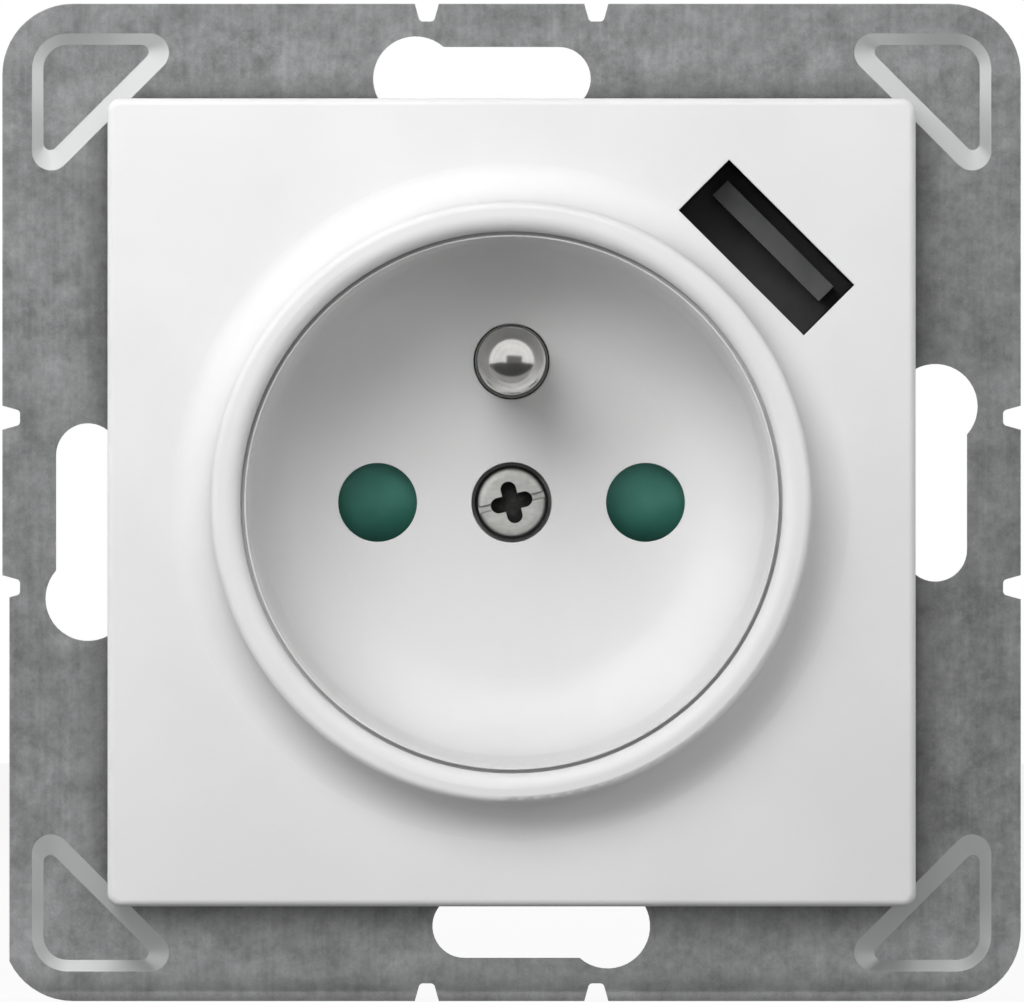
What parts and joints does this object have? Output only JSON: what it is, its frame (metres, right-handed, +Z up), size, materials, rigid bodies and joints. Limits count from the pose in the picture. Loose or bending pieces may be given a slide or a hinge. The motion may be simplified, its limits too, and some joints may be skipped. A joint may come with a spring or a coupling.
{
  "type": "usb wall socket",
  "caption": "Square white wall socket without its outer frame: round recessed outlet with earth pin and shuttered holes, slanted USB port, steel support frame behind",
  "frame": {"origin": "centre of the steel support frame, on the wall plane", "axes": "X to the right seen from the room, Y into the wall, Z up"},
  "size_m": [0.072, 0.042, 0.0706],
  "materials": {
    "galvanised_steel": "rolled zinc-coated sheet, faint mottling",
    "white_thermoplastic": "smooth moulded, half gloss",
    "nickel_plate": "turned and nickel plated",
    "zinc_screw_steel": "zinc plated",
    "housing_plastic": "moulded light grey, fine grain",
    "green_plastic": "smooth moulded dark green",
    "spring_steel": "drawn wire",
    "contact_bronze": "rolled strip",
    "terminal_brass": "sawn and drilled bar",
    "usb_shell_steel": "folded plated sheet",
    "black_moulding": "fine moulded black",
    "gilt_strip": "stamped and gilt",
    "board_laminate": "lacquered glass laminate",
    "tinned_wire": "drawn and tinned",
    "ferrite": "pressed and fired",
    "winding_tape": "wound and taped",
    "capacitor_sleeve": "shrunk sleeve",
    "chip_epoxy": "moulded black"
  },
  "bodies": {
    "socket": {"support_frame": "galvanised_steel", "cover_plate": "white_thermoplastic", "socket_insert": "white_thermoplastic", "earth_pin": "nickel_plate", "cover_screw": "zinc_screw_steel", "frame_screws": "zinc_screw_steel", "terminal_screws": "zinc_screw_steel", "front_body": "housing_plastic", "base_housing": "housing_plastic", "shutter_spring": "spring_steel", "line_contact": "contact_bronze", "neutral_contact": "contact_bronze", "earth_strap": "contact_bronze", "line_terminal": "terminal_brass", "neutral_terminal": "terminal_brass", "earth_terminal": "terminal_brass", "usb_shell": "usb_shell_steel", "usb_tongue": "black_moulding", "usb_contacts": "gilt_strip", "usb_board": "board_laminate", "charger_board": "board_laminate", "board_link": "tinned_wire", "transformer_core": "ferrite", "transformer_coil": "winding_tape", "input_capacitor": "capacitor_sleeve", "output_capacitor": "capacitor_sleeve", "controller_chip": "chip_epoxy", "rectifier": "chip_epoxy"},
    "shutter": {"shutter": "green_plastic"}
  },
  "joints": [
    {"name": "shutter_slide", "type": "slide", "parent": "socket", "child": "shutter", "axis": [0, 0, 1], "range_m": [0, 0.0064], "stiffness_N_per_m": 150, "springref_m": -0.004, "deforming": ["shutter_spring"]}
  ]
}
